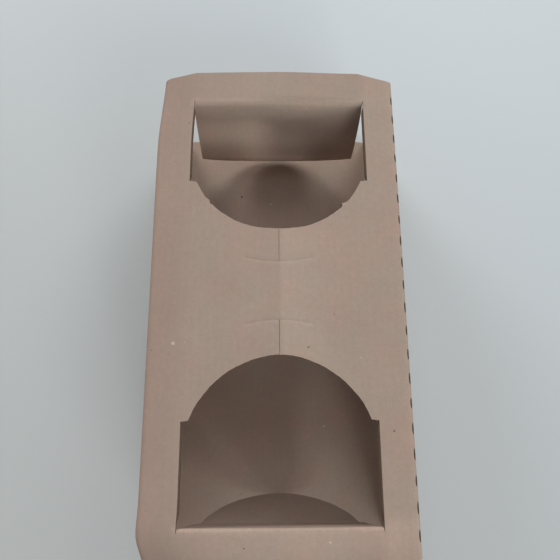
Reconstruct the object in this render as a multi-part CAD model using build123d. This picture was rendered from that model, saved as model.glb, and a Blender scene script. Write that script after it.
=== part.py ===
from build123d import *
from math import cos, radians, sin, tan
import os

# Two-cup carrier folded from one blank of kraft board. Sizes are in millimetres.
# The blank is a sleeve with open ends. Its top panel has two arched openings, and the flap
# cut from each one hangs from the opening's outer edge and braces the sleeve.
# +X runs across the carrier, +Y towards its far end, +Z up from the face that it stands on.

# Sleeve and board
sleeve_length = 216.0
sleeve_width = 110.0
sleeve_height = 67.5
board = 1.3
crisp_fold_inside = 0.6     # inside radius of a creased fold
soft_fold_inside = 1.9      # inside radius of the top left fold, which is creased twice

# Glue lap, which stands inside the left side panel
lap_height = 24.0
lap_end_taper = 7.0         # how far each end of the lap's free edge is cut back

# Eased corners where the top panel's folds reach the sleeve's ends
corner_run = 15.0           # along the end edge
corner_drop = 4.3           # along the fold
corner_round = 2.5

# Perforations along the top right fold
perforation_pitch = 9.95
perforation_length = 3.8
perforation_width = 0.5
perforation_end_margin = 10.0

# Openings
opening_width = 80.2
opening_offset = 1.0        # the openings lie this far to the right of the middle
hinge_margin = 15.9         # from the sleeve's end to the corner of the flap's fold
tongue_width = 74.0         # chord of the arch
shoulder_slope = 0.8        # how far each shoulder slopes towards the arch
near_arch_depth = 26.7      # from the shoulder to the crown of the arch
far_arch_depth = 23.7
die_gap = 0.2               # left by the knife on each side of a flap

# Flaps. A lean is how far the board below a fold tilts out towards the sleeve's end.
near_flap_lean = 12.6
near_tongue_lean = -19.0
far_flap_lean = -12.2
far_tongue_lean = 24.5
knee_radius = 6.0           # of the bend between flap and tongue
tip_gap = 1.7               # between the near tongue's tip and the bottom panel

# Collars round the arches, each slit at its crown and scored along its outer edge
collar_width = 14.8
collar_slit_width = 0.4
score_width = 0.7
score_depth = 0.25
score_half_angle = 17.0

# Torn remains of the ties that held the far flap in its opening
tie_angle = 45.0            # from the crown of the arch, on both sides
tie_width = 2.4
tie_height = 1.0

# Worked out from the sizes above
half_length = sleeve_length / 2
half_width = sleeve_width / 2
mid_fold_radius = crisp_fold_inside + board / 2
soft_fold_radius = soft_fold_inside + board / 2
hinge_y = half_length - hinge_margin
top_middle = sleeve_height - board / 2
near_tip_height = board + tip_gap + board / 2 * sin(radians(abs(near_tongue_lean)))
flap_drop = top_middle - near_tip_height
straight_length = (
    flap_drop - near_arch_depth * cos(radians(near_tongue_lean))
) / cos(radians(near_flap_lean))
half_tongue = tongue_width / 2
through = 4 * board         # reach of a cutter past the board


def offset_points(points, distance):
    """Corners of a line that runs beside an open polyline, to its left where distance is positive."""
    runs = [(end - start).normalized() for start, end in zip(points, points[1:])]
    normals = [Vector(-run.Y, run.X) for run in runs]
    befores = [normals[0]] + normals
    afters = normals + [normals[-1]]
    return [
        point + (before + after) * (distance / (1 + before.dot(after)))
        for point, before, after in zip(points, befores, afters)
    ]


def board_profile(corners, radii):
    """Section of the board folded along a line of corners, each with the radius of its middle layer."""
    points = [Vector(*corner) for corner in corners]
    sides = []
    for side in (1, -1):
        side_radii = []
        for before, corner, after, radius in zip(points, points[1:], points[2:], radii):
            turn = (corner - before).cross(after - corner).Z
            inside = side if turn > 0 else -side
            side_radii.append(radius - inside * board / 2)
        side_points = offset_points(points, side * board / 2)
        sides.append(FilletPolyline(*side_points, radius=side_radii))
    left, right = sides
    ends = [Line(left @ 0, right @ 0), Line(left @ 1, right @ 1)]
    return make_face(Curve() + sides + ends)


def sleeve():
    """Left side, top, right side and bottom panels, with the glue lap inside the left side panel."""
    left_middle = -half_width + board / 2
    right_middle = half_width - board / 2
    lap_middle = left_middle + board
    lap_start = lap_middle + 2 * mid_fold_radius
    wrap = board_profile(
        [
            (left_middle, 0),
            (left_middle, top_middle),
            (right_middle, top_middle),
            (right_middle, board / 2),
            (lap_start, board / 2),
        ],
        [soft_fold_radius, mid_fold_radius, mid_fold_radius],
    )
    lap = board_profile(
        [(lap_start, board / 2), (lap_middle, board / 2), (lap_middle, lap_height)],
        [mid_fold_radius],
    )
    wrap_solid = extrude(Plane.XZ * wrap, half_length, both=True)
    lap_solid = extrude(Plane.XZ * lap, half_length, both=True)
    return wrap_solid + (lap_solid - lap_trims())


def lap_trims():
    """Wedges that cut the lap's ends back towards its free edge."""
    wedge = Polygon(
        (half_length, board + crisp_fold_inside),
        (half_length + 1, board + crisp_fold_inside),
        (half_length + 1, lap_height + 1),
        (half_length - lap_end_taper, lap_height + 1),
        (half_length - lap_end_taper, lap_height),
        align=None,
    )
    plane = Plane.YZ.offset(-half_width)
    cutter = extrude(plane * wedge, 2 * board + mid_fold_radius)
    return cutter + mirror(cutter, Plane.XZ)


def eased_outline(width, length, rounded_sides):
    """A panel with its corners cut back on the given sides, 1 for the right and -1 for the left."""
    panel = Rectangle(width, length)
    for side in rounded_sides:
        for end in (1, -1):
            corner = Polygon(
                (side * (width / 2 - corner_run), end * length / 2),
                (side * width / 2, end * (length / 2 - corner_drop)),
                (side * (width / 2 + corner_run), end * (length / 2 - 2 * corner_drop)),
                (side * (width / 2 + corner_run), end * (length / 2 + corner_drop)),
                (side * (width / 2 - corner_run), end * (length / 2 + corner_drop)),
                align=None,
            )
            panel -= corner
    rounded = [
        vertex
        for vertex in panel.vertices()
        if any(vertex.X * side > 0 for side in rounded_sides)
    ]
    return fillet(rounded, corner_round)


def corner_cutters():
    """Board that is cut away at both ends of the two top folds."""
    margin = 2 * corner_run
    soft_depth = soft_fold_inside + board
    crisp_depth = crisp_fold_inside + board

    top_waste = Rectangle(sleeve_width + margin, sleeve_length + margin) - eased_outline(
        sleeve_width, sleeve_length, (1, -1)
    )
    top_waste = extrude(Plane.XY.offset(sleeve_height - crisp_depth) * top_waste, margin)

    side_waste = Rectangle(sleeve_height + margin, sleeve_length + margin) - eased_outline(
        sleeve_height, sleeve_length, (1,)
    )
    side_waste = Plane(origin=(0, 0, sleeve_height / 2), x_dir=(0, 0, 1), z_dir=(-1, 0, 0)) * side_waste
    upper_half = Pos(0, 0, sleeve_height) * Box(
        sleeve_width + 2 * margin, sleeve_length + 2 * margin, sleeve_height
    )
    left_waste = extrude(side_waste, margin)
    left_waste = Pos(-half_width + soft_depth, 0, 0) * left_waste
    right_waste = extrude(side_waste, -margin)
    right_waste = Pos(half_width - crisp_depth, 0, 0) * right_waste
    return top_waste + (left_waste & upper_half) + (right_waste & upper_half)


def arch_radius(arch_depth):
    """Radius of an arch from its chord and its depth."""
    rise = arch_depth - shoulder_slope
    return (half_tongue**2 + rise**2) / (2 * rise)


def flap_outline(width, arch_depth):
    """Flat shape of a flap: hinge at the lower edge, shoulders, and the arched tongue at the top."""
    shoulder = straight_length
    arch_start = shoulder + shoulder_slope
    crown = shoulder + arch_depth
    edges = [
        Line((-half_tongue, arch_start), (-width / 2, shoulder)),
        Line((-width / 2, shoulder), (-width / 2, 0)),
        Line((-width / 2, 0), (width / 2, 0)),
        Line((width / 2, 0), (width / 2, shoulder)),
        Line((width / 2, shoulder), (half_tongue, arch_start)),
        ThreePointArc((half_tongue, arch_start), (0, crown), (-half_tongue, arch_start)),
    ]
    return make_face(Curve() + edges)


def end_plane(end):
    """The top face's plane seen from one end: X across, Y from the hinge to the middle."""
    return Plane(
        origin=(opening_offset, end * hinge_y, sleeve_height),
        x_dir=(end, 0, 0),
        z_dir=(0, 0, -1),
    )


def fold_run(lean):
    """Length of board that the fold at a hinge takes up, from its corner."""
    turn = radians(90 + lean)
    return mid_fold_radius * tan(turn / 2)


def opening_cutter(end, arch_depth, lean, with_ties):
    """The arched hole that a flap leaves in the top panel."""
    hinge_strip = Rectangle(opening_width, fold_run(lean), align=(Align.CENTER, Align.MAX))
    outline = flap_outline(opening_width, arch_depth) + hinge_strip
    if with_ties:
        outline -= torn_ties(arch_depth)
    return extrude(end_plane(end) * outline, through, both=True)


def torn_ties(arch_depth):
    """Small ragged teeth on the arch, where the flap's ties tore."""
    radius = arch_radius(arch_depth)
    centre = Vector(0, straight_length + arch_depth - radius)
    tooth = Polygon(
        (radius + 1, -tie_width / 2),
        (radius - tie_height / 2, -tie_width / 2),
        (radius - tie_height, tie_width / 4),
        (radius + 1, tie_width / 2),
        align=None,
    )
    teeth = [
        Location(centre, (0, 0, 90 - side * tie_angle)) * tooth
        for side in (1, -1)
    ]
    return teeth[0] + teeth[1]


def flap(end, arch_depth, flap_lean, tongue_lean):
    """A flap folded down at its hinge and bent at its knee, where the tongue begins."""
    hinge = Vector(end * hinge_y, top_middle)
    knee = hinge + Vector(
        end * straight_length * sin(radians(flap_lean)),
        -straight_length * cos(radians(flap_lean)),
    )
    tongue_run = Vector(end * sin(radians(tongue_lean)), -cos(radians(tongue_lean)))
    tip = knee + tongue_run * (arch_depth + board)
    start = hinge + Vector(end * (fold_run(flap_lean) + board), 0)
    profile = board_profile(
        [(point.X, point.Y) for point in (start, hinge, knee, tip)],
        [mid_fold_radius, knee_radius],
    )
    flap_width = opening_width - 2 * die_gap
    ribbon = Pos(opening_offset, 0, 0) * extrude(Plane.YZ * profile, flap_width / 2, both=True)

    # The flat shape is laid along the tongue, so that the arch has its true form there
    outline = flap_outline(flap_width, arch_depth)
    hinge_side = Rectangle(flap_width, sleeve_height, align=(Align.CENTER, Align.MAX))
    tongue_plane = Plane(
        origin=(opening_offset, knee.X, knee.Y),
        x_dir=(end, 0, 0),
        z_dir=Vector(end, 0, 0).cross(Vector(0, tongue_run.X, tongue_run.Y)),
    )
    blank = Pos(0, -straight_length, 0) * (outline + hinge_side)
    return ribbon & extrude(tongue_plane * blank, sleeve_length, both=True)


def collar_cutters(end, arch_depth):
    """The slit at an arch's crown and the shallow score that it runs to."""
    radius = arch_radius(arch_depth)
    crown = straight_length + arch_depth
    slit = Pos(0, crown - tie_height) * Rectangle(
        collar_slit_width, collar_width + tie_height, align=(Align.CENTER, Align.MIN)
    )
    slit_solid = extrude(end_plane(end) * slit, through, both=True)

    score_radius = radius + collar_width
    ring = Circle(score_radius + score_width / 2) - Circle(score_radius - score_width / 2)
    reach = 2 * score_radius
    spread = reach * tan(radians(score_half_angle))
    sector = Polygon((0, 0), (spread, reach), (-spread, reach), align=None)
    score = Pos(0, crown - radius) * (ring & sector)
    return slit_solid + extrude(end_plane(end) * score, score_depth, both=True)


def perforations():
    """Slits through the top right fold, along the bisector of the fold."""
    usable = sleeve_length - 2 * perforation_end_margin
    count = int(usable / perforation_pitch) + 1
    slit = Box(through * 2, perforation_length, perforation_width)
    slit = Pos(half_width - board, 0, sleeve_height - board) * Rot(0, -45, 0) * slit
    first = -(count - 1) / 2 * perforation_pitch
    return [Pos(0, first + index * perforation_pitch, 0) * slit for index in range(count)]


def carrier():
    near, far = -1, 1
    body = sleeve() - corner_cutters()
    body -= opening_cutter(near, near_arch_depth, near_flap_lean, False)
    body -= opening_cutter(far, far_arch_depth, far_flap_lean, True)
    body -= collar_cutters(near, near_arch_depth)
    body -= collar_cutters(far, far_arch_depth)
    body -= perforations()
    body += flap(near, near_arch_depth, near_flap_lean, near_tongue_lean)
    body += flap(far, far_arch_depth, far_flap_lean, far_tongue_lean)
    return body


os.makedirs("parts", exist_ok=True)
part = carrier()
export_step(part, "parts/carrier.step")
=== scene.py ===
"""Looks of a folded kraft board cup carrier: one die-cut blank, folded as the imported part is."""

import math
from collections import namedtuple

import bpy
import numpy as np
from mathutils import Matrix, Vector, kdtree
from mathutils.geometry import delaunay_2d_cdt


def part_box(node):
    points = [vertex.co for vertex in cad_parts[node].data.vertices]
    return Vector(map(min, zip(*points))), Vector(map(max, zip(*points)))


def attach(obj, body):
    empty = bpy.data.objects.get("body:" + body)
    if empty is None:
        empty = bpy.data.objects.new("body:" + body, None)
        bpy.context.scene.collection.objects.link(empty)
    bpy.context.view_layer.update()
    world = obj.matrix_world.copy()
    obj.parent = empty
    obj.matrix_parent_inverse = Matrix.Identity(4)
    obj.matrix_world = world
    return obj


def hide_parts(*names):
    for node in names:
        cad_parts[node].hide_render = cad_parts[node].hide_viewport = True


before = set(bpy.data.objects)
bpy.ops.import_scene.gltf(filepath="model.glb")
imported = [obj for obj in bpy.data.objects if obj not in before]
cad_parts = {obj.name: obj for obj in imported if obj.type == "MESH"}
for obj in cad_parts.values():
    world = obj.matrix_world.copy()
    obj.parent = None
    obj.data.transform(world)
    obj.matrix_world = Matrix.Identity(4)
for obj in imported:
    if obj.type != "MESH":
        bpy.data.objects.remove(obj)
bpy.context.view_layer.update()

MM = 0.001  # the board is worked out in millimetres and scaled once, when its mesh is made

# Sleeve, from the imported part
sleeve_low, sleeve_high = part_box("carrier")
half_width = (sleeve_high.x - sleeve_low.x) / 2 / MM
half_length = (sleeve_high.y - sleeve_low.y) / 2 / MM
sleeve_height = (sleeve_high.z - sleeve_low.z) / MM

# Board and folds
board = 1.3
crisp_radius = 1.25  # of the board's middle layer in a creased fold
soft_radius = 2.55  # in the top left fold, which is creased twice
lap_height = 24.0
lap_end_taper = 7.0
glue_gap = 0.04  # between the lap and the panel that it is glued to

# Eased corners of the top panel, measured on the flat blank from the fold
ease_run = 15.0  # along the end edge
ease_drop = 4.3  # along the fold
left_ease_drop = 3.4
ease_round = 2.5

# Perforated fold
slit_pitch = 9.95
slit_length = 4.5  # worn a little longer and wider than they were cut
slit_width = 1.0
slit_count = 20
slit_shift = -0.9  # of the whole row, towards the near end
slit_unevenness = 0.06  # share by which the slits' lengths differ
slit_phase = 2.3  # from one slit to the next, in the row's run of lengths

# Openings and flaps
opening_width = 80.2
opening_offset = 1.0
hinge_margin = 15.9
tongue_width = 74.0
shoulder_slope = 0.8
shoulder_wear = 0.35  # by which each shoulder's outer corner gave way, towards the arch
straight_length = 39.34
die_gap = 0.2  # kerf round a flap
foot_length = 1.0  # beside each end of a hinge, over which the kerf narrows
foot_share = 0.85  # of the kerf that is closed there
knee_radius = 6.0
soft_hinge_radius = 4.5  # where a hinge has been worked most
strip_margin = 6.0  # of the strip that each flap's fold line starts in

# Wear of the flaps
soft_reach = 30.0  # of a hinge's softest part, to each side of its middle
bulge_starts = (-11, 7)  # across the flap, where its rolled half begins
bulge_fades = (28, 40)  # and where half of the roll is gone again
settle_length = 5.0  # below a hinge, in which its flap takes its skew and flare

# Cut edges
crush = 0.06  # by which each face is pressed back
crushed_height = 0.3  # of the crushed part on each face
ripple_depth = 0.09  # of the knife's finer wander from the arch
ripple_lengths = (1.7, 0.83)
drift_depth = 0.05  # of its slower wander
drift_length = 5.3
waver_fade = 0.05  # in radians, before each end of the arch, where it stops wandering
flank_swell = 0.42  # by which the flanks of a squarer arch stand out
crown_dip = 0.3  # and by which its crown falls back

# Torn ties, measured along the arch from each tie
tie_reach = 2.8  # of the finer mesh, to each side
tooth_front = 0.9  # lengths of a tooth's two slopes
tooth_back = 2.4
notch_place = -1.5  # of the notch beside the tooth
notch_reach = 0.8
raggedness = 0.12
ragged_turn = 7.1  # of the rags' wave, per millimetre

# Collars round the arches, and the crease between them
collar_width = 14.8
collar_slit_width = 0.04
score_half_angle = 17.0
score_half_width = 0.8
score_fade = 2  # in degrees, at each end
score_depth = 0.22
crease_x = 1.9
crease_half_width = 0.7
crease_margin = 2  # between the crease's ends and the collars

# Density of the mesh
flat_step = 2.5
bend_steps = 8
edge_step = 1.0
score_rows = 5
slit_points = 12  # round a perforation slit
tie_points = 15  # of the arch beside a torn tie
clear_of_edge = 0.75  # no inner point of the mesh is nearer than this to an edge
clear_in_bend = clear_of_edge / 3
clear_of_hinge = 0.3
clear_of_slit = 0.2  # beyond the top of a collar's slit
merge_distance = 1e-5  # within which the triangulation takes two points for one
sharp_angle = 38.0  # in degrees, over which an edge isn't shaded smooth

hinge_y = half_length - hinge_margin

# Lines of the folded board, through its middle layer
left_middle = -half_width + board / 2
right_middle = half_width - board / 2
top_middle = sleeve_height - board / 2
lap_middle = left_middle + board + glue_gap


def unit(angle):
    """Unit vectors at these angles, one row each."""
    return np.stack([np.cos(angle), np.sin(angle)], axis=-1)


def smooth(value, start, end):
    """0 before start, 1 after end, with a soft turn between them."""
    share = np.clip((value - start) / (end - start), 0, 1)
    return share * share * (3 - 2 * share)


def band(value, start, full, fade, end):
    """1 from full to fade and 0 outside start and end, with soft turns between them."""
    return smooth(value, start, full) * (1 - smooth(value, fade, end))


# A bend's corner, the corner's distance along the line, the middle layer's radius, the heading
# before it, its turn, and how far it reaches to each side of the corner
Bend = namedtuple("Bend", "corner mark radius heading turn reach")


class FoldLine:
    """Straight runs of board joined by round bends. Distances are measured along the corners."""

    def __init__(self, corners, radii):
        self.corners = np.array(corners, float)
        runs = np.diff(self.corners, axis=0)
        self.headings = np.unwrap(np.arctan2(runs[:, 1], runs[:, 0]))
        self.marks = np.concatenate([[0], np.cumsum(np.hypot(runs[:, 0], runs[:, 1]))])
        self.bends = []
        for index, radius in enumerate(radii):
            heading = self.headings[index]
            turn = self.headings[index + 1] - heading
            reach = radius * math.tan(abs(turn) / 2)
            corner = self.corners[index + 1]
            self.bends.append(Bend(corner, self.marks[index + 1], radius, heading, turn, reach))

    def place(self, distance):
        """Point and heading of the middle layer at each distance."""
        run = np.searchsorted(self.marks, distance, side="right") - 1
        run = np.clip(run, 0, len(self.headings) - 1)
        heading = self.headings[run].copy()
        point = self.corners[run] + (distance - self.marks[run])[:, None] * unit(heading)
        for bend in self.bends:
            bent = np.abs(distance - bend.mark) < bend.reach
            share = (distance[bent] - bend.mark + bend.reach) / (2 * bend.reach)
            side = math.copysign(math.pi / 2, bend.turn)
            start = bend.corner - bend.reach * unit(bend.heading)
            centre = start + bend.radius * unit(bend.heading + side)
            heading[bent] = bend.heading + share * bend.turn
            point[bent] = centre - bend.radius * unit(heading[bent] + side)
        return point, heading

    def offset(self, distance, lift):
        """Points that stand off the middle layer by lift, to the left of the line."""
        point, heading = self.place(distance)
        return point + lift[:, None] * unit(heading + math.pi / 2)

    def stations(self, first, last):
        """Distances for mesh lines: flat_step apart in the runs and closer in the bends."""
        knots = [first]
        counts = []
        for bend in self.bends:
            if first < bend.mark < last:
                start = bend.mark - bend.reach
                counts += [max(1, round((start - knots[-1]) / flat_step)), bend_steps]
                knots += [start, bend.mark + bend.reach]
        counts.append(max(1, round((last - knots[-1]) / flat_step)))
        knots.append(last)
        pieces = [
            np.linspace(start, end, count, endpoint=False)
            for start, end, count in zip(knots, knots[1:], counts)
        ]
        return np.concatenate(pieces + [[last]])


# Round the sleeve in X and Z, from the free edge of the left side panel to that of the glue lap
sleeve_line = FoldLine(
    [
        (left_middle, 0),
        (left_middle, top_middle),
        (right_middle, top_middle),
        (right_middle, board / 2),
        (lap_middle, board / 2),
        (lap_middle, lap_height),
    ],
    [soft_radius, crisp_radius, crisp_radius, crisp_radius],
)
top_left, top_right, bottom_right, bottom_left, lap_edge = sleeve_line.marks[1:]
crease_mark = top_left + crease_x - left_middle


class Flap:
    """One opening and its flap. end is 1 for the far one and -1 for the near one.

    A lean is how far the board below a fold tilts out towards the sleeve's end, in degrees.
    Bulge, skew and flare are how far the flap rolls outwards, sits to the left and widens, and slip
    is how far beyond its crease the hinge folds. An arch is squarer than a circle where squareness
    is above 0, and more pointed where it is below. soft_middle is where across the flap its hinge
    is softest. A tie is its angle from the crown, and the lengths of its tooth and notch.
    """

    def __init__(
        self, end, arch_depth, flap_lean, tongue_lean, hinge_radius, squareness,
        slip=0, bulge=0, skew=0, flare=0, soft_middle=None, ties=(),
    ):
        self.end = end
        self.crown = straight_length + arch_depth
        self.squareness = squareness
        self.bulge = bulge
        self.skew = skew
        self.flare = flare
        self.soft_middle = soft_middle
        self.ties = ties
        self.centre = top_left + opening_offset - left_middle
        rise = arch_depth - shoulder_slope
        self.radius = ((tongue_width / 2) ** 2 + rise**2) / (2 * rise)
        self.spread = math.asin(tongue_width / 2 / self.radius)
        self.angles = self.arch_angles()

        # From the strip over the hinge and down to the knee and the tongue
        hinge = np.array((-hinge_y - slip, top_middle))
        start = np.array((-hinge_y - strip_margin, top_middle))
        knee = hinge + (straight_length + slip) * unit(math.radians(-90 - flap_lean))
        tip = knee + (arch_depth + strip_margin) * unit(math.radians(-90 - tongue_lean))
        self.line = FoldLine([start, hinge, knee, tip], [hinge_radius, knee_radius])
        self.soft_line = FoldLine([start, hinge, knee, tip], [soft_hinge_radius, knee_radius])

        # How far from the crease the hinge still bends
        self.hinge_run = self.line.bends[0].reach + slip
        self.soft_run = self.hinge_run if soft_middle is None else self.soft_line.bends[0].reach

    def to_blank(self, points):
        """Blank coordinates of points given across the opening and from its hinge."""
        across, along = np.asarray(points, float).T
        return np.stack([self.centre + across, self.end * (hinge_y - along)], axis=-1)

    def from_blank(self, points):
        """Across the opening and from its hinge, for points on the blank."""
        return points[:, 0] - self.centre, hinge_y - self.end * points[:, 1]

    def edge(self, gap, run, slit=False):
        """Edge of the opening, or of the flap inside it by a gap. It starts run beyond the hinge."""
        width = opening_width - 2 * gap
        corner = (width / 2, straight_length + shoulder_wear)
        arch_start = (tongue_width / 2, straight_length + shoulder_slope)
        foot = (width / 2 + foot_share * (opening_width - width) / 2, -run)
        side = trace([foot, (width / 2, foot_length), corner, arch_start])
        slit_angle = collar_slit_width / 2 / self.radius
        right = self.arch(self.angles[self.angles > slit_angle], gap)
        left = self.arch(self.angles[self.angles < -slit_angle], gap)
        crown = self.arch(np.zeros(1), gap)
        if slit:
            foot_right, foot_left = self.arch(np.array((slit_angle, -slit_angle)), gap)
            end_right = foot_right * (1, 0) + (0, self.crown + collar_width)
            end_left = foot_left * (1, 0) + (0, self.crown + collar_width)
            crown = trace([foot_right, end_right, end_left, foot_left])
        mirrored_side = side[::-1] * (-1, 1)
        return np.concatenate([side[:-1], right, crown, left, mirrored_side[1:]])

    def arch_angles(self):
        """Angles of the arch's points from its crown, right to left, closer together at a torn tie."""
        count = math.ceil(2 * self.spread * self.radius / edge_step)
        angles = list(np.linspace(self.spread, -self.spread, count))
        for tie_angle, _, _ in self.ties:
            reach = tie_reach / self.radius
            around = math.radians(tie_angle)
            angles = [angle for angle in angles if abs(angle - around) > reach]
            angles += list(np.linspace(around - reach, around + reach, tie_points))
        return np.array(sorted(angles, reverse=True))

    def arch(self, angle, gap):
        """Points of the arch at angles from its crown, with its wavering edge and torn ties."""
        waver = knife_waver(angle * self.radius, self.end)
        waver *= smooth(self.spread - np.abs(angle), 0, waver_fade)
        radius = self.radius + waver - gap + self.squareness * squarer_arch(angle)
        for tie_angle, tooth, notch in self.ties:
            from_tie = (np.abs(angle) - math.radians(abs(tie_angle))) * self.radius
            beside = np.sign(angle) == math.copysign(1, tie_angle)
            radius = radius - torn_tie(from_tie, tooth, notch) * beside
        return unit(math.pi / 2 - angle) * radius[:, None] + (0, self.crown - self.radius)

    def fold(self, across, along, lift):
        """X, Y and Z of points of the flap."""
        share = np.clip(across / (tongue_width / 2), -1, 1)
        distance = along + strip_margin
        flat = self.line.offset(distance, lift)
        if self.soft_middle is not None:
            soft = self.soft_line.offset(distance, lift)
            from_middle = np.clip((across - self.soft_middle) / soft_reach, -1, 1)
            softness = np.cos(from_middle * math.pi / 2)
            flat += (soft - flat) * softness[:, None]
        down = np.clip(along / straight_length, 0, 1)
        rolled = smooth(across, *bulge_starts) * (1 - 0.5 * smooth(across, *bulge_fades))
        flat[:, 0] += self.bulge * rolled * 4 * down * (1 - down)
        settled = 1 - np.exp(-np.clip(along, 0, None) / settle_length)
        x = across + opening_offset + (self.flare * share - self.skew) * settled
        return np.stack([x, -self.end * flat[:, 0], flat[:, 1]], axis=-1)


def knife_waver(length, phase):
    """How far the cut edge strays from the arch, at lengths along it from the crown."""
    long_ripple, short_ripple = ripple_lengths
    ripple = ripple_depth * np.sin(length / long_ripple + phase) * np.sin(length / short_ripple)
    return ripple + drift_depth * np.sin(length / drift_length)


def squarer_arch(angle):
    """How far a squarer arch lies outside its circle, by the angle from its crown."""
    degrees = np.degrees(np.abs(angle))
    flank = band(degrees, 3, 27, 48, 62)
    crown = 1 - smooth(degrees, 1, 20)
    return flank_swell * flank - crown_dip * crown


def torn_tie(distance, tooth, notch):
    """Ragged profile of a torn tie along the arch: a tooth of board left, and a notch beside it."""
    point = np.clip(1 - np.maximum(-distance / tooth_front, distance / tooth_back), 0, 1)
    hollow = np.clip(1 - np.abs(distance - notch_place) / notch_reach, 0, 1)
    ragged = 1 + raggedness * np.sin(distance * ragged_turn)
    return tooth * point * ragged - notch * hollow


def trace(corners):
    """An open line of corners with points added, so that none are further apart than edge_step."""
    corners = [np.array(corner, float) for corner in corners]
    points = []
    for start, end in zip(corners, corners[1:]):
        count = max(1, math.ceil(np.linalg.norm(end - start) / edge_step))
        points += [start + (end - start) * index / count for index in range(count)]
    return np.array(points + [corners[-1]])


def rounded(corners):
    """A closed line with round corners. Each corner is X, Y and its radius."""
    line = []
    places = [np.array(corner[:2], float) for corner in corners]
    for index, place in enumerate(places):
        radius = corners[index][2]
        before = place - places[index - 1]
        after = places[(index + 1) % len(places)] - place
        before /= np.linalg.norm(before)
        after /= np.linalg.norm(after)
        turn = math.atan2(before[0] * after[1] - before[1] * after[0], before @ after)
        reach = radius * math.tan(abs(turn) / 2)
        if reach == 0:
            line.append(place)
            continue
        side = np.array((-before[1], before[0])) * math.copysign(1, turn)
        centre = place - before * reach + side * radius
        first = math.atan2(*(-side)[::-1])
        for angle in np.linspace(first, first + turn, bend_steps):
            line.append(centre + radius * unit(angle))
    line.append(line[0])
    return trace(line)[:-1]


def blank_outline():
    """Edge of the flat blank: distance round the sleeve, and Y."""
    corners = []
    for end in (-1, 1):
        limit = end * half_length
        row = [(0, limit, 0)]
        for fold, drop in ((top_left, left_ease_drop), (top_right, ease_drop)):
            row.append((fold - ease_run, limit, ease_round))
            row.append((fold, limit - end * drop, ease_round))
            row.append((fold + ease_run, limit, ease_round))
        row.append((bottom_left + crisp_radius, limit, 0))
        row.append((lap_edge, limit - end * lap_end_taper, 0))
        corners += row if end < 0 else row[::-1]
    return rounded(corners)


def perforation_slits():
    """Lens-shaped slits through the board, along the top right fold."""
    middle = (slit_count - 1) / 2
    slits = []
    for index in range(slit_count):
        angle = np.linspace(0, 2 * math.pi, slit_points, endpoint=False)
        reach = slit_length / 2 * (1 + slit_unevenness * math.sin(index * slit_phase))
        lens = np.stack([slit_width / 2 * np.sin(angle), reach * np.cos(angle)], axis=-1)
        slits.append(lens + (top_right, (index - middle) * slit_pitch + slit_shift))
    return slits


def inside(polygon, points):
    """Which points lie inside a closed polygon."""
    x, y = points.T
    result = np.zeros(len(points), bool)
    for (x1, y1), (x2, y2) in zip(polygon, np.roll(polygon, -1, axis=0)):
        if y1 == y2:
            continue
        crosses = (y1 > y) != (y2 > y)
        result ^= crosses & (x < x1 + (y - y1) * (x2 - x1) / (y2 - y1))
    return result


near_flap = Flap(
    end=-1, arch_depth=26.7, flap_lean=11.4, tongue_lean=-19.0,
    hinge_radius=0.8, slip=0.5, squareness=-0.7,
)
far_flap = Flap(
    end=1, arch_depth=23.7, flap_lean=-12.2, tongue_lean=24.5,
    hinge_radius=1.5, bulge=2.6, skew=0.42, flare=0.62, squareness=1, soft_middle=12,
    ties=[(44.1, 1.3, 0.1), (-48.3, 0.4, 0.5)],
)
flaps = (near_flap, far_flap)
near_owner, far_owner = 1, 2  # numbers of the flaps for the mesh's points; the sleeve's is 0
crease_ends = [flap.end * (hinge_y - flap.crown - collar_width) for flap in flaps]


def score_lines():
    """Points across the scored arcs beyond the collars, and along the crease between them."""
    points = []
    for flap in flaps:
        radius = flap.radius + collar_width
        spread = math.radians(score_half_angle)
        count = math.ceil(2 * spread * radius / edge_step)
        for offset in np.linspace(-score_half_width, score_half_width, score_rows):
            for angle in np.linspace(-spread, spread, count):
                if abs(angle) * radius > collar_slit_width or offset > clear_of_slit:
                    place = (radius + offset) * unit(math.pi / 2 - angle)
                    points.append(flap.to_blank([place + (0, flap.crown - flap.radius)])[0])
    start, end = crease_ends
    for offset in (-crease_half_width, 0, crease_half_width):
        for y in np.arange(start + crease_margin, end - crease_margin, edge_step):
            points.append((crease_mark + offset, y))
    return points


def lattice(across, along):
    """All pairs of two rows of values."""
    first, second = np.meshgrid(across, along)
    return np.stack([first.ravel(), second.ravel()], axis=-1)


def knife_gap(flap):
    """Closed line round the knife's gap between an opening, with its collar's slit, and its flap."""
    opening = flap.to_blank(flap.edge(0, flap.hinge_run, slit=True))
    tongue = flap.to_blank(flap.edge(die_gap, flap.hinge_run))
    return np.concatenate([opening, tongue[::-1]])


def hinge_points(flap):
    """Points across a hinge and round its bend."""
    half = opening_width / 2 - clear_of_edge
    across = np.linspace(-half, half, round(2 * half / edge_step))
    along = np.linspace(-flap.hinge_run, flap.hinge_run, bend_steps + 1)
    return flap.to_blank(lattice(across, along))


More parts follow.
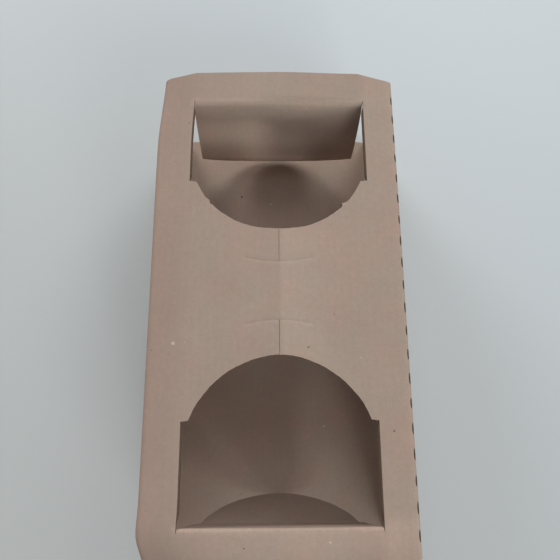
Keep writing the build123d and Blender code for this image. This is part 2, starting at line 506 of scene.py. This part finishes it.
def inner_points(outline, zones):
    """Points in rows over the sleeve and over each flap's zone, without those on the hinges."""
    along = np.linspace(-half_length, half_length, round(2 * half_length / flat_step) + 1)
    sleeve = lattice(sleeve_line.stations(0, lap_edge), along)
    for zone in zones:
        sleeve = sleeve[~inside(zone, sleeve)]
    rows = [sleeve]
    across = np.linspace(-opening_width / 2, opening_width / 2, round(opening_width / flat_step) + 1)
    for flap, zone in zip(flaps, zones):
        stations = flap.line.stations(strip_margin - flap.hinge_run, strip_margin + flap.crown)
        if flap.soft_middle is not None:
            first = strip_margin - flap.soft_run
            last = strip_margin + flap.soft_run
            stations = np.concatenate([stations, np.linspace(first, last, 2 * bend_steps)])
        own = flap.to_blank(lattice(across, stations - strip_margin))
        rows.append(own[inside(zone, own)])
    free = np.concatenate(rows)
    free = free[inside(outline, free)]
    for flap in flaps:
        off_middle, along = flap.from_blank(free)
        on_hinge = np.abs(along) < flap.hinge_run + clear_of_hinge
        free = free[~(on_hinge & (np.abs(off_middle) < opening_width / 2))]
    return free


def clear_points(free, edge_points):
    """The free points that lie far enough from the edges. In the bends they may lie closer."""
    tree = kdtree.KDTree(len(edge_points))
    for index, (u, y) in enumerate(edge_points):
        tree.insert((u, y, 0), index)
    tree.balance()
    bent = np.zeros(len(free), bool)
    for bend in sleeve_line.bends:
        bent |= np.abs(free[:, 0] - bend.mark) < bend.reach
    limits = np.where(bent, clear_in_bend, clear_of_edge)
    return [(u, y) for (u, y), limit in zip(free, limits) if tree.find((u, y, 0))[2] > limit]


def flat_mesh():
    """Points and triangles of the flat blank, and which flap each point belongs to."""
    outline = blank_outline()
    holes = perforation_slits() + [knife_gap(flap) for flap in flaps]
    zones = [flap.to_blank(flap.edge(die_gap / 2, flap.soft_run)) for flap in flaps]

    points = []
    edges = []
    for loop in [outline] + holes:
        first = len(points)
        points += [tuple(point) for point in loop]
        edges += [(first + index, first + (index + 1) % len(loop)) for index in range(len(loop))]
    points += [tuple(point) for point in score_lines()]
    free = clear_points(inner_points(outline, zones), points)
    points += [tuple(point) for flap in flaps for point in hinge_points(flap)]
    flat = [Vector(point) for point in points + free]
    places, _, triangles, _, _, _ = delaunay_2d_cdt(flat, edges, [], 0, merge_distance, False)

    places = np.array([tuple(place) for place in places])
    triangles = np.array(triangles)
    middles = places[triangles].mean(axis=1)
    kept = inside(outline, middles)
    for hole in holes:
        kept &= ~inside(hole, middles)
    used, triangles = np.unique(triangles[kept], return_inverse=True)
    places = places[used]
    triangles = triangles.reshape(-1, 3)

    owner = np.zeros(len(places), int)
    for number, zone in enumerate(zones, near_owner):
        owner[inside(zone, places)] = number
    return places, oriented(places, triangles), owner


def oriented(places, triangles):
    """Triangles that all run anticlockwise on the blank, so that their outer face looks out."""
    a, b, c = (places[triangles[:, index]].T for index in range(3))
    area = (b[0] - a[0]) * (c[1] - a[1]) - (b[1] - a[1]) * (c[0] - a[0])
    return np.where((area > 0)[:, None], triangles, triangles[:, ::-1])


def rim_edges(triangles):
    """Edges that only one triangle has, in that triangle's direction."""
    directed = np.concatenate([triangles[:, [0, 1]], triangles[:, [1, 2]], triangles[:, [2, 0]]])
    known = {tuple(edge) for edge in directed}
    return np.array([edge for edge in directed if (edge[1], edge[0]) not in known])


def rim_normals(places, rim):
    """Outward direction on the blank at each point of the rim, and zero elsewhere."""
    normals = np.zeros_like(places)
    run = places[rim[:, 1]] - places[rim[:, 0]]
    out = np.stack([run[:, 1], -run[:, 0]], axis=-1)
    out /= np.linalg.norm(out, axis=1)[:, None]
    np.add.at(normals, rim[:, 0], out)
    np.add.at(normals, rim[:, 1], out)
    length = np.linalg.norm(normals, axis=1)
    normals[length > 0] /= length[length > 0][:, None]
    return normals


# Shape that the board has taken in use. A span is where a bend begins and where it is full
crown_height = 1.3  # of the top panel over its folds
ridge_share = 0.65  # of the crown that is a ridge along the crease; the rest is round
ridge_top = 0.03  # by which the ridge is blunt, as a share of the panel's half
upper_span = (20, 62)  # of heights, over which the board comes to follow the top panel
far_droop = 0.8  # of the top panel's far right corner
droop_across = (0, 38)
droop_along = (55, half_length)
far_pinch = 2.6  # inwards, of the left side panel's top at the far end
far_pinch_span = (68, half_length + 4)
near_pinch = 4.2  # the same at the near end
near_pinch_span = (94, half_length + 2)
near_bulge = 0.45  # outwards, where the near pinch begins
near_bulge_y = -93
near_bulge_reach = 6
pinch_across = (18, half_width)
left_spread = 0.2  # outwards, of the side panels' tops
right_spread = 0.45
spread_across = (42, half_width)
side_bow = 0.3  # of the side panels, in and out along the carrier
side_across = (half_width - 6, half_width - 1)
side_wave_length = 37
side_wave_start = 0.6
near_bottom_bow = 0.9  # of the bottom panel, upwards below the near tongue
far_bottom_bow = 4.8  # and below the far one
bow_span = (-60, 85)
over_bottom = 2  # a height just over the bottom panel

# Side edges of the openings, rolled down and into the opening
left_roll = 0.7
right_roll = 0.9
edge_roll_start = (1, 5)  # from the hinge
edge_roll_end = (straight_length - 1.5, straight_length)
upper_roll_share = 0.3  # of the roll that the rim's upper and lower lines take
lower_roll_share = 0.9


def score_dip(places):
    """Depth of the scored arcs at points of the blank, from 0 to 1."""
    dip = np.zeros(len(places))
    for flap in flaps:
        across, along = flap.from_blank(places)
        centre = flap.crown - flap.radius
        distance = np.hypot(across, along - centre)
        angle = np.degrees(np.arctan2(np.abs(across), along - centre))
        groove = 1 - smooth(np.abs(distance - flap.radius - collar_width), 0, score_half_width)
        groove *= 1 - smooth(angle, score_half_angle - score_fade, score_half_angle)
        dip = np.maximum(dip, groove)
    return dip


def ridge(x):
    """Rise of the top panel across the carrier, from 0 at its folds to 1 at its crease."""
    share = np.abs(x - crease_x) / (half_width + crease_x)
    blunt_share = np.sqrt(share**2 + ridge_top**2)
    rise = ridge_share * (1 - blunt_share) + (1 - ridge_share) * (1 - share**2)
    return np.clip(rise, 0, 1)


def worn_shape(points, sleeve):
    """The folded board with the bends of its use: crowned top, pinched ends and bowed panels."""
    x, y, z = points.T.copy()
    bottom = sleeve & (z < over_bottom)
    bow = near_bottom_bow + (far_bottom_bow - near_bottom_bow) * smooth(y, *bow_span)
    z += bow * bottom * np.clip(1 - (x / right_middle) ** 2, 0, 1)

    upper = smooth(z, *upper_span)
    lift = crown_height * ridge(x) * upper
    lift -= far_droop * smooth(x, *droop_across) * smooth(y, *droop_along) * upper

    height = np.clip(z / sleeve_height, 0, 1)
    pinch = far_pinch * smooth(y, *far_pinch_span) + near_pinch * smooth(-y, *near_pinch_span)
    pinch -= near_bulge * np.exp(-((y - near_bulge_y) / near_bulge_reach) ** 2)
    pinch = pinch * smooth(-x, *pinch_across) * height
    spread = np.where(x < 0, left_spread, right_spread) * smooth(np.abs(x), *spread_across)
    wave = side_bow * np.sin(height * math.pi) * np.sin(y / side_wave_length + side_wave_start)
    outward = spread * height + smooth(np.abs(x), *side_across) * wave
    return np.stack([x + pinch + np.sign(x) * outward, y, z + lift], axis=-1)


def folded(places, owner, lift):
    """The board's points folded into the carrier, lifted off its middle layer."""
    points = np.zeros((len(places), 3))
    sleeve = owner == 0
    flat = sleeve_line.offset(places[sleeve, 0], lift[sleeve])
    points[sleeve] = np.stack([flat[:, 0], places[sleeve, 1], flat[:, 1]], axis=-1)
    for number, flap in enumerate(flaps, near_owner):
        own = owner == number
        across, along = flap.from_blank(places[own])
        points[own] = flap.fold(across, along, lift[own])
    return worn_shape(points, sleeve)


def edge_roll(places, owner):
    """How far the openings' side edges reach into the opening at the inner face, and 0 elsewhere."""
    roll = np.zeros(len(places))
    for flap in flaps:
        across, along = flap.from_blank(places)
        on_side = np.abs(np.abs(across) - opening_width / 2) < die_gap / 2
        rolled = band(along, *edge_roll_start, *edge_roll_end)
        roll += np.where(across < 0, left_roll, right_roll) * on_side * rolled
    return roll * (owner == 0)


# How rubbed the board is, with the painted highlight on its bends, where 1 is a worked hinge
fold_rub_and_highlight = 0.5
knee_rub_and_highlight = 0.3
beside_hinge_rub = 0.2
crease_rub = 0.1
worn_folds = [(top_left, 3.2), (top_right, 1.8), (bottom_right, 1.8), (bottom_left, 1.8)]


def fold_wear_and_highlight(places, owner):
    """Rub and painted highlight of the board's folds, hinges, knees and crease, at each point."""
    u, y = places.T
    rubs_and_highlights = [fold_rub_and_highlight * (1 - smooth(np.abs(u - mark), 0.3, width)) for mark, width in worn_folds]
    for number, flap in enumerate(flaps, near_owner):
        across, along = flap.from_blank(places)
        hinge = 1 - smooth(np.abs(along), 0.3, 2.2)
        rubs_and_highlights.append(hinge * (np.abs(across) < opening_width / 2))
        knee = 1 - smooth(np.abs(along - straight_length), 0.5, 4)
        rubs_and_highlights.append(knee_rub_and_highlight * knee * (owner == number))
        beside = np.exp(-((across - opening_width / 2) / 1.2) ** 2)
        rubs_and_highlights.append(beside_hinge_rub * beside * (1 - smooth(along, -4, 1)))
    start, end = crease_ends
    crease = 1 - smooth(np.abs(u - crease_mark), 0.2, 1.6)
    rubs_and_highlights.append(crease_rub * crease * band(y, start - 1, start + 3, end - 3, end + 1))
    return np.max(rubs_and_highlights, axis=0)


# Painted shade on the near tongue
tongue_shade = 0.16  # by which the near tongue is darker


def top_painted_light_and_shade(x, y):
    """Painted light and shade of the top panel. Each patch gives what it adds where it lies."""
    side = opening_offset + opening_width / 2
    near_strip = smooth(-y, hinge_y - 6, hinge_y)
    far_strip = smooth(y, hinge_y - 8, hinge_y)
    near_end = smooth(-y, 86, 98)
    right_of_crease = np.clip(1 - (x - crease_x) / 33, 0, 1)
    right_of_crease *= smooth(x, crease_x - 0.9, crease_x + 0.9) * (1 - far_strip) * (1 - near_strip)
    # Painted light: lighter right of the crease, where the panel faces the light; painted shade on its
    # left, which faces away
    patches = {
        "panel": 1.03,
        "left_half": -0.02 * smooth(-x, 0, 33),
        "left_rail": -0.06 * smooth(-x, 33, 48),
        "right_of_crease": 0.115 * right_of_crease,
        "near_strip": 0.05 * near_strip,
        "near_strip_middle": 0.06 * near_strip * (smooth(x, -20, 8) - smooth(x, 20, side)),
        "near_edge": -0.14 * smooth(-y, hinge_y + 3, half_length),
        "near_left_corner": -0.14 * near_end * smooth(-x, 26, 46),
        "near_right_corner": -0.05 * near_end * smooth(x, 44, 54),
        "far_strip": -0.03 * far_strip,
        "far_strip_right": -0.02 * far_strip * smooth(x, 15, side),
        "beside_hinges": 0.1 * (far_strip + near_strip) * smooth(x, side - 0.6, side + 1.2),
    }
    return sum(patches.values())


def far_flap_painted_light(across, along):
    """Painted light and shade on the far flap, over the board's colour. Each patch gives what it adds.
    """
    patches = {
        "left_part": 0.34 * (1 - smooth(across, -11, 5)),
        "left_of_roll": 0.12 * np.exp(-((across + 13) / 8) ** 2),
        "right_end": 0.14 * smooth(across, 18, 34),
        "knee": 0.2 * smooth(along, 29, straight_length),
        "below_hinge": -0.2 * smooth(across, -8, 6) * band(along, 4, 9, 12, 24),
    }
    return sum(patches.values()) * smooth(along, 1, 16)


def board_painted_light(places, owner):
    """Painted light and shade on the board's outer face, where 1 is its colour as written."""
    x = places[:, 0] - top_left + left_middle
    on_top_panel = (owner == 0) & (x > left_middle) & (x < right_middle)
    tone = np.where(on_top_panel, top_painted_light_and_shade(x, places[:, 1]), 1.0)
    tone += (owner == far_owner) * far_flap_painted_light(*far_flap.from_blank(places))
    _, along = near_flap.from_blank(places)
    near_tongue = smooth(along, straight_length - 4, straight_length + 2)
    return tone - tongue_shade * near_tongue * (owner == near_owner)


def board_faces(triangles, rim, on_rim, count):
    """Faces of the outer and inner side, which have count points each, and those of the cut edges."""
    rim_index = np.zeros(count, int)
    rim_index[on_rim] = np.arange(len(on_rim))
    upper_rim = 2 * count + rim_index
    lower_rim = upper_rim + len(on_rim)
    rings = [np.arange(count), upper_rim, lower_rim, count + np.arange(count)]
    cut_faces = []
    for outer, inner in zip(rings, rings[1:]):
        cut_faces += [(outer[a], inner[a], inner[b], outer[b]) for a, b in rim]
    return [*triangles, *(triangles[:, ::-1] + count)], cut_faces


def board_mesh():
    """The whole folded board as one closed mesh, with its blank coordinates kept for the shading."""
    places, triangles, owner = flat_mesh()
    rim = rim_edges(triangles)
    on_rim = np.unique(rim)
    out = rim_normals(places, rim)
    score = score_dip(places)

    # Outer face, inner face, and the upper and lower lines of the rim between them
    dip = score * score_depth
    inset = places - out * crush
    rolled = out * edge_roll(places, owner)[:, None]
    upper = places + upper_roll_share * rolled
    lower = places + lower_roll_share * rolled
    rim_lift = np.full(len(on_rim), board / 2 - crushed_height)
    layers = [
        (inset, owner, board / 2 - dip),
        (inset + rolled, owner, -board / 2 - dip),
        (upper[on_rim], owner[on_rim], rim_lift),
        (lower[on_rim], owner[on_rim], -rim_lift),
    ]
    points = np.concatenate([folded(*layer) for layer in layers])
    blank = np.concatenate([np.column_stack([flat, lift]) for flat, _, lift in layers])
    wear_and_highlight = fold_wear_and_highlight(places, owner)
    tone = board_painted_light(places, owner)
    # The tone is painted light and shade, on the outer face only
    shading = {"wear_and_highlight": (wear_and_highlight, wear_and_highlight), "score": (score, score), "tone": (tone, np.ones(len(places)))}
    side_faces, cut_faces = board_faces(triangles, rim, on_rim, len(places))
    faces = side_faces + cut_faces

    mesh = bpy.data.meshes.new("folded_board")
    mesh.from_pydata((points * MM).tolist(), [], [[int(index) for index in face] for face in faces])
    mesh.update()
    mesh.polygons.foreach_set("use_smooth", [True] * len(faces))
    mesh.polygons.foreach_set("material_index", [0] * len(side_faces) + [1] * len(cut_faces))
    mesh.set_sharp_from_angle(angle=math.radians(sharp_angle))
    blank_values = mesh.attributes.new("blank", "FLOAT_VECTOR", "POINT")
    blank_values.data.foreach_set("vector", blank.astype(np.float32).ravel())
    for name, (outer, inner) in shading.items():
        values = np.concatenate([outer, inner, outer[on_rim], outer[on_rim]])
        attribute = mesh.attributes.new(name, "FLOAT", "POINT")
        attribute.data.foreach_set("value", values.astype(np.float32))
    return mesh


usual_noise = (0.3, 0.7)  # range that most of a noise lies in


class Nodes:
    """A material's node tree, with one short call for each kind of node."""

    def __init__(self, name):
        self.material = bpy.data.materials.new(name)
        self.material.use_nodes = True
        self.tree = self.material.node_tree
        self.shader = self.tree.nodes["Principled BSDF"]

    def fill(self, node, inputs):
        """Gives each of these inputs of a node its value, or links it to another node."""
        for name, value in inputs.items():
            if isinstance(value, bpy.types.NodeSocket):
                self.tree.links.new(value, node.inputs[name])
            else:
                node.inputs[name].default_value = value

    def add(self, kind, inputs, **settings):
        node = self.tree.nodes.new(kind)
        for name, value in settings.items():
            setattr(node, name, value)
        self.fill(node, inputs)
        return node

    def attribute(self, name, output):
        return self.add("ShaderNodeAttribute", {}, attribute_name=name).outputs[output]

    def math(self, operation, *values):
        node = self.add("ShaderNodeMath", dict(enumerate(values)), operation=operation)
        return node.outputs[0]

    def stretch(self, vector, scale, turn=0.0):
        inputs = {"Vector": vector, "Scale": scale, "Rotation": (0, 0, turn)}
        return self.add("ShaderNodeMapping", inputs).outputs[0]

    def noise(self, vector, scale, detail=2.0, roughness=0.5):
        inputs = {"Vector": vector, "Scale": scale, "Detail": detail, "Roughness": roughness}
        return self.add("ShaderNodeTexNoise", inputs).outputs["Fac"]

    def between(self, value, low, high, to_low=0.0, to_high=1.0):
        names = ("Value", "From Min", "From Max", "To Min", "To Max")
        inputs = dict(zip(names, (value, low, high, to_low, to_high)))
        return self.add("ShaderNodeMapRange", inputs).outputs[0]

    def vary(self, noise, to_low, to_high):
        return self.between(noise, *usual_noise, to_low, to_high)

    def chain(self, operation, value, *others):
        """The values taken together one after another, by the same operation."""
        for other in others:
            value = self.math(operation, value, other)
        return value

    def times(self, *values):
        return self.chain("MULTIPLY", *values)

    def mix(self, share, first, second, blend="MIX"):
        inputs = {0: share, 6: first, 7: second}
        return self.add("ShaderNodeMix", inputs, data_type="RGBA", blend_type=blend).outputs[2]

    def surface(self, colour, roughness, gloss, height, relief):
        """The board's look. Relief is how strongly its height shows."""
        bump = self.add("ShaderNodeBump", {"Height": height, "Strength": relief, "Distance": MM})
        self.fill(self.shader, {
            "Base Color": colour,
            "Roughness": roughness,
            "Specular IOR Level": gloss,
            "Normal": bump.outputs["Normal"],
        })
        return self.material


def srgb(red, green, blue):
    """A colour given in the 0 to 255 values of a screen, as Blender's linear colour."""
    def linear(value):
        value /= 255
        return value / 12.92 if value < 0.04045 else ((value + 0.055) / 1.055) ** 2.4
    return (linear(red), linear(green), linear(blue), 1.0)


# Kraft board's colours on a screen
kraft_brown = (169, 148, 133)
reddish_brown = (176, 145, 131)
reddish_width = 22  # of the top panel's reddish left side
# Cut edge colours: partly the pulp's own, partly painted shade of edges that lie in shadow
edge_brown_and_shade = (94, 75, 61)
edge_pale = (120, 100, 84)
edge_dark = (80, 62, 50)

# Trace of the fluting
flute_pitch = 3.2
flute_drift = 1.2  # by which its lines wander

# Small fragments in the pulp. Each kind is its pitch and radius, the share of its places that stay
# empty, how far its pattern is moved, its strength and its colour
speck_kinds = {
    "dark": (7.0, 0.38, 0.6, 0.0, 0.55, (92, 70, 54)),
    "light": (9.0, 0.42, 0.55, 31.0, 0.6, (206, 190, 172)),
    "dust": (2.4, 0.2, 0.5, 57.0, 0.28, (118, 96, 78)),
}
smallest_speck = 0.35  # as a share of the largest
speck_blur = 0.12


def specks(nodes, blank, pitch, radius, empty, shift):
    """Small round fragments in the pulp: 1 inside one, 0 elsewhere."""
    largest = radius / pitch
    moved = nodes.add("ShaderNodeVectorMath", {0: blank, 1: (shift, shift / 2, 0)}, operation="ADD")
    inputs = {"Vector": moved.outputs[0], "Scale": 1 / pitch, "Randomness": 1.0}
    cells = nodes.add("ShaderNodeTexVoronoi", inputs).outputs
    chance = nodes.add("ShaderNodeSeparateColor", {"Color": cells["Color"]}).outputs
    size = nodes.between(chance["Green"], 0, 1, smallest_speck * largest, largest)
    gap = nodes.math("SUBTRACT", cells["Distance"], size)
    spot = nodes.between(gap, -speck_blur * largest, speck_blur * largest, 1, 0)
    return nodes.times(spot, nodes.math("GREATER_THAN", chance["Red"], empty))


def on_top(x, y):
    """Blank place of a point of the top panel."""
    return top_left + x - left_middle, y


def on_bottom(x, y):
    """Blank place of a point of the bottom panel."""
    return bottom_right + right_middle - x, y


# The fragments that stand out. Each kind is its strength and colour, and the places on the blank
# and the radii of its fragments
fragment_kinds = {
    "dark": (0.7, (78, 56, 46), [
        (on_bottom(-19.9, 70.9), 0.75),
        (on_top(46.9, -56.5), 0.4),
        (on_top(-40.7, 81.4), 0.3),
        (on_top(-13.1, -98.9), 0.35),
        (on_top(13.1, -22.8), 0.45),
    ]),
    "light": (0.5, (222, 206, 186), [
        (on_bottom(-2.9, 65.9), 0.6),
        (on_bottom(25.1, -58.3), 0.55),
        (on_top(19.9, -97.1), 0.5),
        (on_top(-43.5, -20.8), 0.8),
    ]),
}


def fragment_mask(nodes, blank, fragments):
    """1 inside the given fragments, whose edges are a little ragged, and 0 elsewhere."""
    flat = nodes.stretch(blank, (1, 1, 0))
    ragged = nodes.vary(nodes.noise(flat, 1.5), -0.15, 0.15)
    spots = []
    for place, radius in fragments:
        away = nodes.add("ShaderNodeVectorMath", {0: flat, 1: (*place, 0)}, operation="DISTANCE")
        reach = nodes.math("ADD", away.outputs["Value"], ragged)
        spots.append(nodes.between(reach, 0.7 * radius, 1.1 * radius, 1, 0))
    return nodes.chain("MAXIMUM", *spots)


def kraft_face():
    """Uncoated kraft liner: cloudy pulp, fibres, fragments and a trace of the fluting below it."""
    nodes = Nodes("kraft_face")
    blank = nodes.attribute("blank", "Vector")
    across = nodes.add("ShaderNodeSeparateXYZ", {"Vector": blank}).outputs["X"]

    clouds = nodes.noise(blank, 0.032, 3.0, 0.55)
    hue = nodes.noise(nodes.stretch(blank, (1, 1, 1), 0.7), 0.05, 2.0, 0.5)
    mottle = nodes.noise(blank, 0.42, 4.0, 0.65)
    grain = nodes.noise(blank, 2.6, 3.0, 0.7)
    long_fibres = nodes.noise(nodes.stretch(blank, (2.6, 0.35, 1), 0.12), 1.0, 3.0, 0.6)
    cross_fibres = nodes.noise(nodes.stretch(blank, (0.5, 3.2, 1), -0.5), 0.9, 3.0, 0.6)
    slant_fibres = nodes.noise(nodes.stretch(blank, (0.6, 3.0, 1), 0.9), 1.1, 3.0, 0.6)
    drift = nodes.between(nodes.noise(blank, 0.02, 1.0), 0, 1, -flute_drift, flute_drift)
    flute_place = nodes.math("ADD", across, drift)
    flute = nodes.math("SINE", nodes.times(flute_place, 2 * math.pi / flute_pitch))
    rubbed_and_highlit = nodes.times(nodes.attribute("wear_and_highlight", "Fac"), nodes.vary(grain, 0.4, 1.0))

    reddish_side = nodes.between(across, top_left, top_left + reddish_width, 0.7, 0)
    reddish = nodes.math("MAXIMUM", reddish_side, nodes.between(hue, 0.42, 0.66, 0, 0.5))
    colour = nodes.mix(reddish, srgb(*kraft_brown), srgb(*reddish_brown))
    tone = nodes.times(
        nodes.vary(clouds, 0.965, 1.035),
        # painted light and shade
        nodes.attribute("tone", "Fac"),
        nodes.vary(mottle, 0.965, 1.035),
        nodes.vary(grain, 0.95, 1.05),
        nodes.between(long_fibres, 0.56, 0.72, 1.0, 1.07),
        nodes.between(cross_fibres, 0.58, 0.72, 1.0, 0.93),
        nodes.between(slant_fibres, 0.58, 0.72, 1.0, 1.06),
        nodes.between(flute, -1, 1, 0.994, 1.006),
        # lighter where rubbed, and where highlight is painted on the bends
        nodes.between(rubbed_and_highlit, 0, 1, 1.0, 1.25),
        nodes.between(nodes.attribute("score", "Fac"), 0, 1, 1.0, 1.05),
    )
    shade = nodes.add("ShaderNodeCombineColor", {"Red": tone, "Green": tone, "Blue": tone})
    colour = nodes.mix(1.0, colour, shade.outputs[0], "MULTIPLY")
    for pitch, radius, empty, shift, strength, mark in speck_kinds.values():
        mask = specks(nodes, blank, pitch, radius, empty, shift)
        colour = nodes.mix(nodes.times(mask, strength), colour, srgb(*mark))
    for strength, mark, fragments in fragment_kinds.values():
        mask = fragment_mask(nodes, blank, fragments)
        colour = nodes.mix(nodes.times(mask, strength), colour, srgb(*mark))

    height = nodes.chain(
        "ADD",
        nodes.times(grain, 0.05),
        nodes.times(mottle, 0.05),
        nodes.between(long_fibres, 0.5, 0.75, 0, 0.03),
        nodes.between(cross_fibres, 0.5, 0.75, 0, 0.03),
        nodes.times(flute, 0.012),
    )
    roughness = nodes.vary(mottle, 0.84, 0.96)
    return nodes.surface(colour, roughness, gloss=0.25, height=height, relief=0.6)


def kraft_edge():
    """Cut edge: pulp in layers, darkened by painted shade, with short fibres pulled out by the knife.
    """
    nodes = Nodes("kraft_edge")
    blank = nodes.attribute("blank", "Vector")
    layers = nodes.noise(nodes.stretch(blank, (1, 1, 6)), 1.3, 3.0, 0.6)
    fray = nodes.noise(blank, 3.5, 3.0, 0.7)
    colour = nodes.mix(nodes.between(layers, 0.35, 0.65), srgb(*edge_brown_and_shade), srgb(*edge_pale))
    colour = nodes.mix(nodes.between(fray, 0.5, 0.7, 0, 0.6), colour, srgb(*edge_dark))
    height = nodes.math("ADD", nodes.times(layers, 0.12), nodes.times(fray, 0.1))
    roughness = nodes.vary(fray, 0.88, 1.0)
    return nodes.surface(colour, roughness, gloss=0.15, height=height, relief=0.8)


def carrier_board():
    """The folded board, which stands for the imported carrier."""
    mesh = board_mesh()
    mesh.materials.append(kraft_face())
    mesh.materials.append(kraft_edge())
    piece = bpy.data.objects.new("folded_board", mesh)
    bpy.context.scene.collection.objects.link(piece)
    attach(piece, "root")
    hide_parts("carrier")


# Table top, in metres
table_reach = 1.5  # from its middle to each side
table_drop = 0.00005  # below the carrier, so that the two faces don't meet
# Painted light on the table: lighter towards the far right, shaded towards the near left
table_shaded_near_left = (197, 196, 193)
table_lit_far_right = (207, 210, 212)


def stage():
    """A plain pale table top, painted lighter towards the far right, where more light falls."""
    corners = [(-1, -1), (1, -1), (1, 1), (-1, 1)]
    places = [(x * table_reach, y * table_reach, -table_drop) for x, y in corners]
    mesh = bpy.data.meshes.new("table_top")
    mesh.from_pydata(places, [], [(0, 1, 2, 3)])
    nodes = Nodes("table_top")
    position = nodes.add("ShaderNodeNewGeometry", {}).outputs["Position"]
    place = nodes.add("ShaderNodeSeparateXYZ", {"Vector": position}).outputs
    painted_light_towards_far_right = nodes.between(nodes.math("ADD", place["X"], place["Y"]), -0.3, 0.3)
    colour = nodes.mix(painted_light_towards_far_right, srgb(*table_shaded_near_left), srgb(*table_lit_far_right))
    nodes.fill(nodes.shader, {"Base Color": colour, "Roughness": 0.6, "Specular IOR Level": 0.2})
    mesh.materials.append(nodes.material)
    floor = bpy.data.objects.new("table_top", mesh)
    bpy.context.scene.collection.objects.link(floor)


# Soft lamps round the carrier: azimuth from +X towards +Y, elevation, width in metres, and watts
soft_lamps = {
    "far_high": (90, 55, 1.0, 6.2),
    "far_left": (120, 20, 0.6, 9.9),
    "far_right": (60, 30, 0.8, 7.7),
    "near_right": (300, 30, 0.8, 5.1),
    "near_low": (285, 8, 0.3, 8.2),
    "overhead": (0, 88, 0.9, 2.3),
}
lamp_distance = 1.6
daylight = (0.93, 0.98, 1.0)
sky_strength = 0.23


def lights():
    """Cool daylight: a pale world, and soft lamps that are strongest beyond the carrier."""
    world = bpy.data.worlds.new("studio")
    world.use_nodes = True
    background = world.node_tree.nodes["Background"]
    background.inputs["Color"].default_value = (*daylight, 1)
    background.inputs["Strength"].default_value = sky_strength
    bpy.context.scene.world = world

    for name, (azimuth, elevation, width, watts) in soft_lamps.items():
        lamp = bpy.data.lights.new(name, "AREA")
        lamp.shape = "DISK"
        lamp.size = width
        lamp.energy = watts
        lamp.color = daylight
        holder = bpy.data.objects.new(name, lamp)
        level = math.radians(elevation)
        turn = math.radians(azimuth)
        flat = lamp_distance * math.cos(level)
        height = lamp_distance * math.sin(level)
        holder.location = (flat * math.cos(turn), flat * math.sin(turn), height)
        holder.rotation_euler = (-holder.location).to_track_quat("-Z", "Y").to_euler()
        bpy.context.scene.collection.objects.link(holder)


# Camera, as it stood for the photograph
camera_place = (-1.08, -42.40, 273.40)  # in millimetres
camera_turns = (13.292, -0.663, -0.237)  # about X, Y and Z, in degrees
camera_film = 36
camera_lens = 31.5


def camera():
    """The photograph's view, from above the middle of the carrier."""
    pitch, yaw, roll = (math.radians(angle) for angle in camera_turns)
    tilt = Matrix.Rotation(pitch, 4, "X")
    turn = tilt @ Matrix.Rotation(yaw, 4, "Y") @ Matrix.Rotation(roll, 4, "Z")
    view = bpy.data.cameras.new("camera")
    view.sensor_width = camera_film
    view.lens = camera_lens
    view.clip_start = 0.01
    holder = bpy.data.objects.new("camera", view)
    holder.matrix_world = Matrix.Translation(Vector(camera_place) * MM) @ turn
    bpy.context.scene.collection.objects.link(holder)
    bpy.context.scene.camera = holder


carrier_board()
stage()
lights()
camera()
bpy.context.scene.view_settings.view_transform = "Standard"
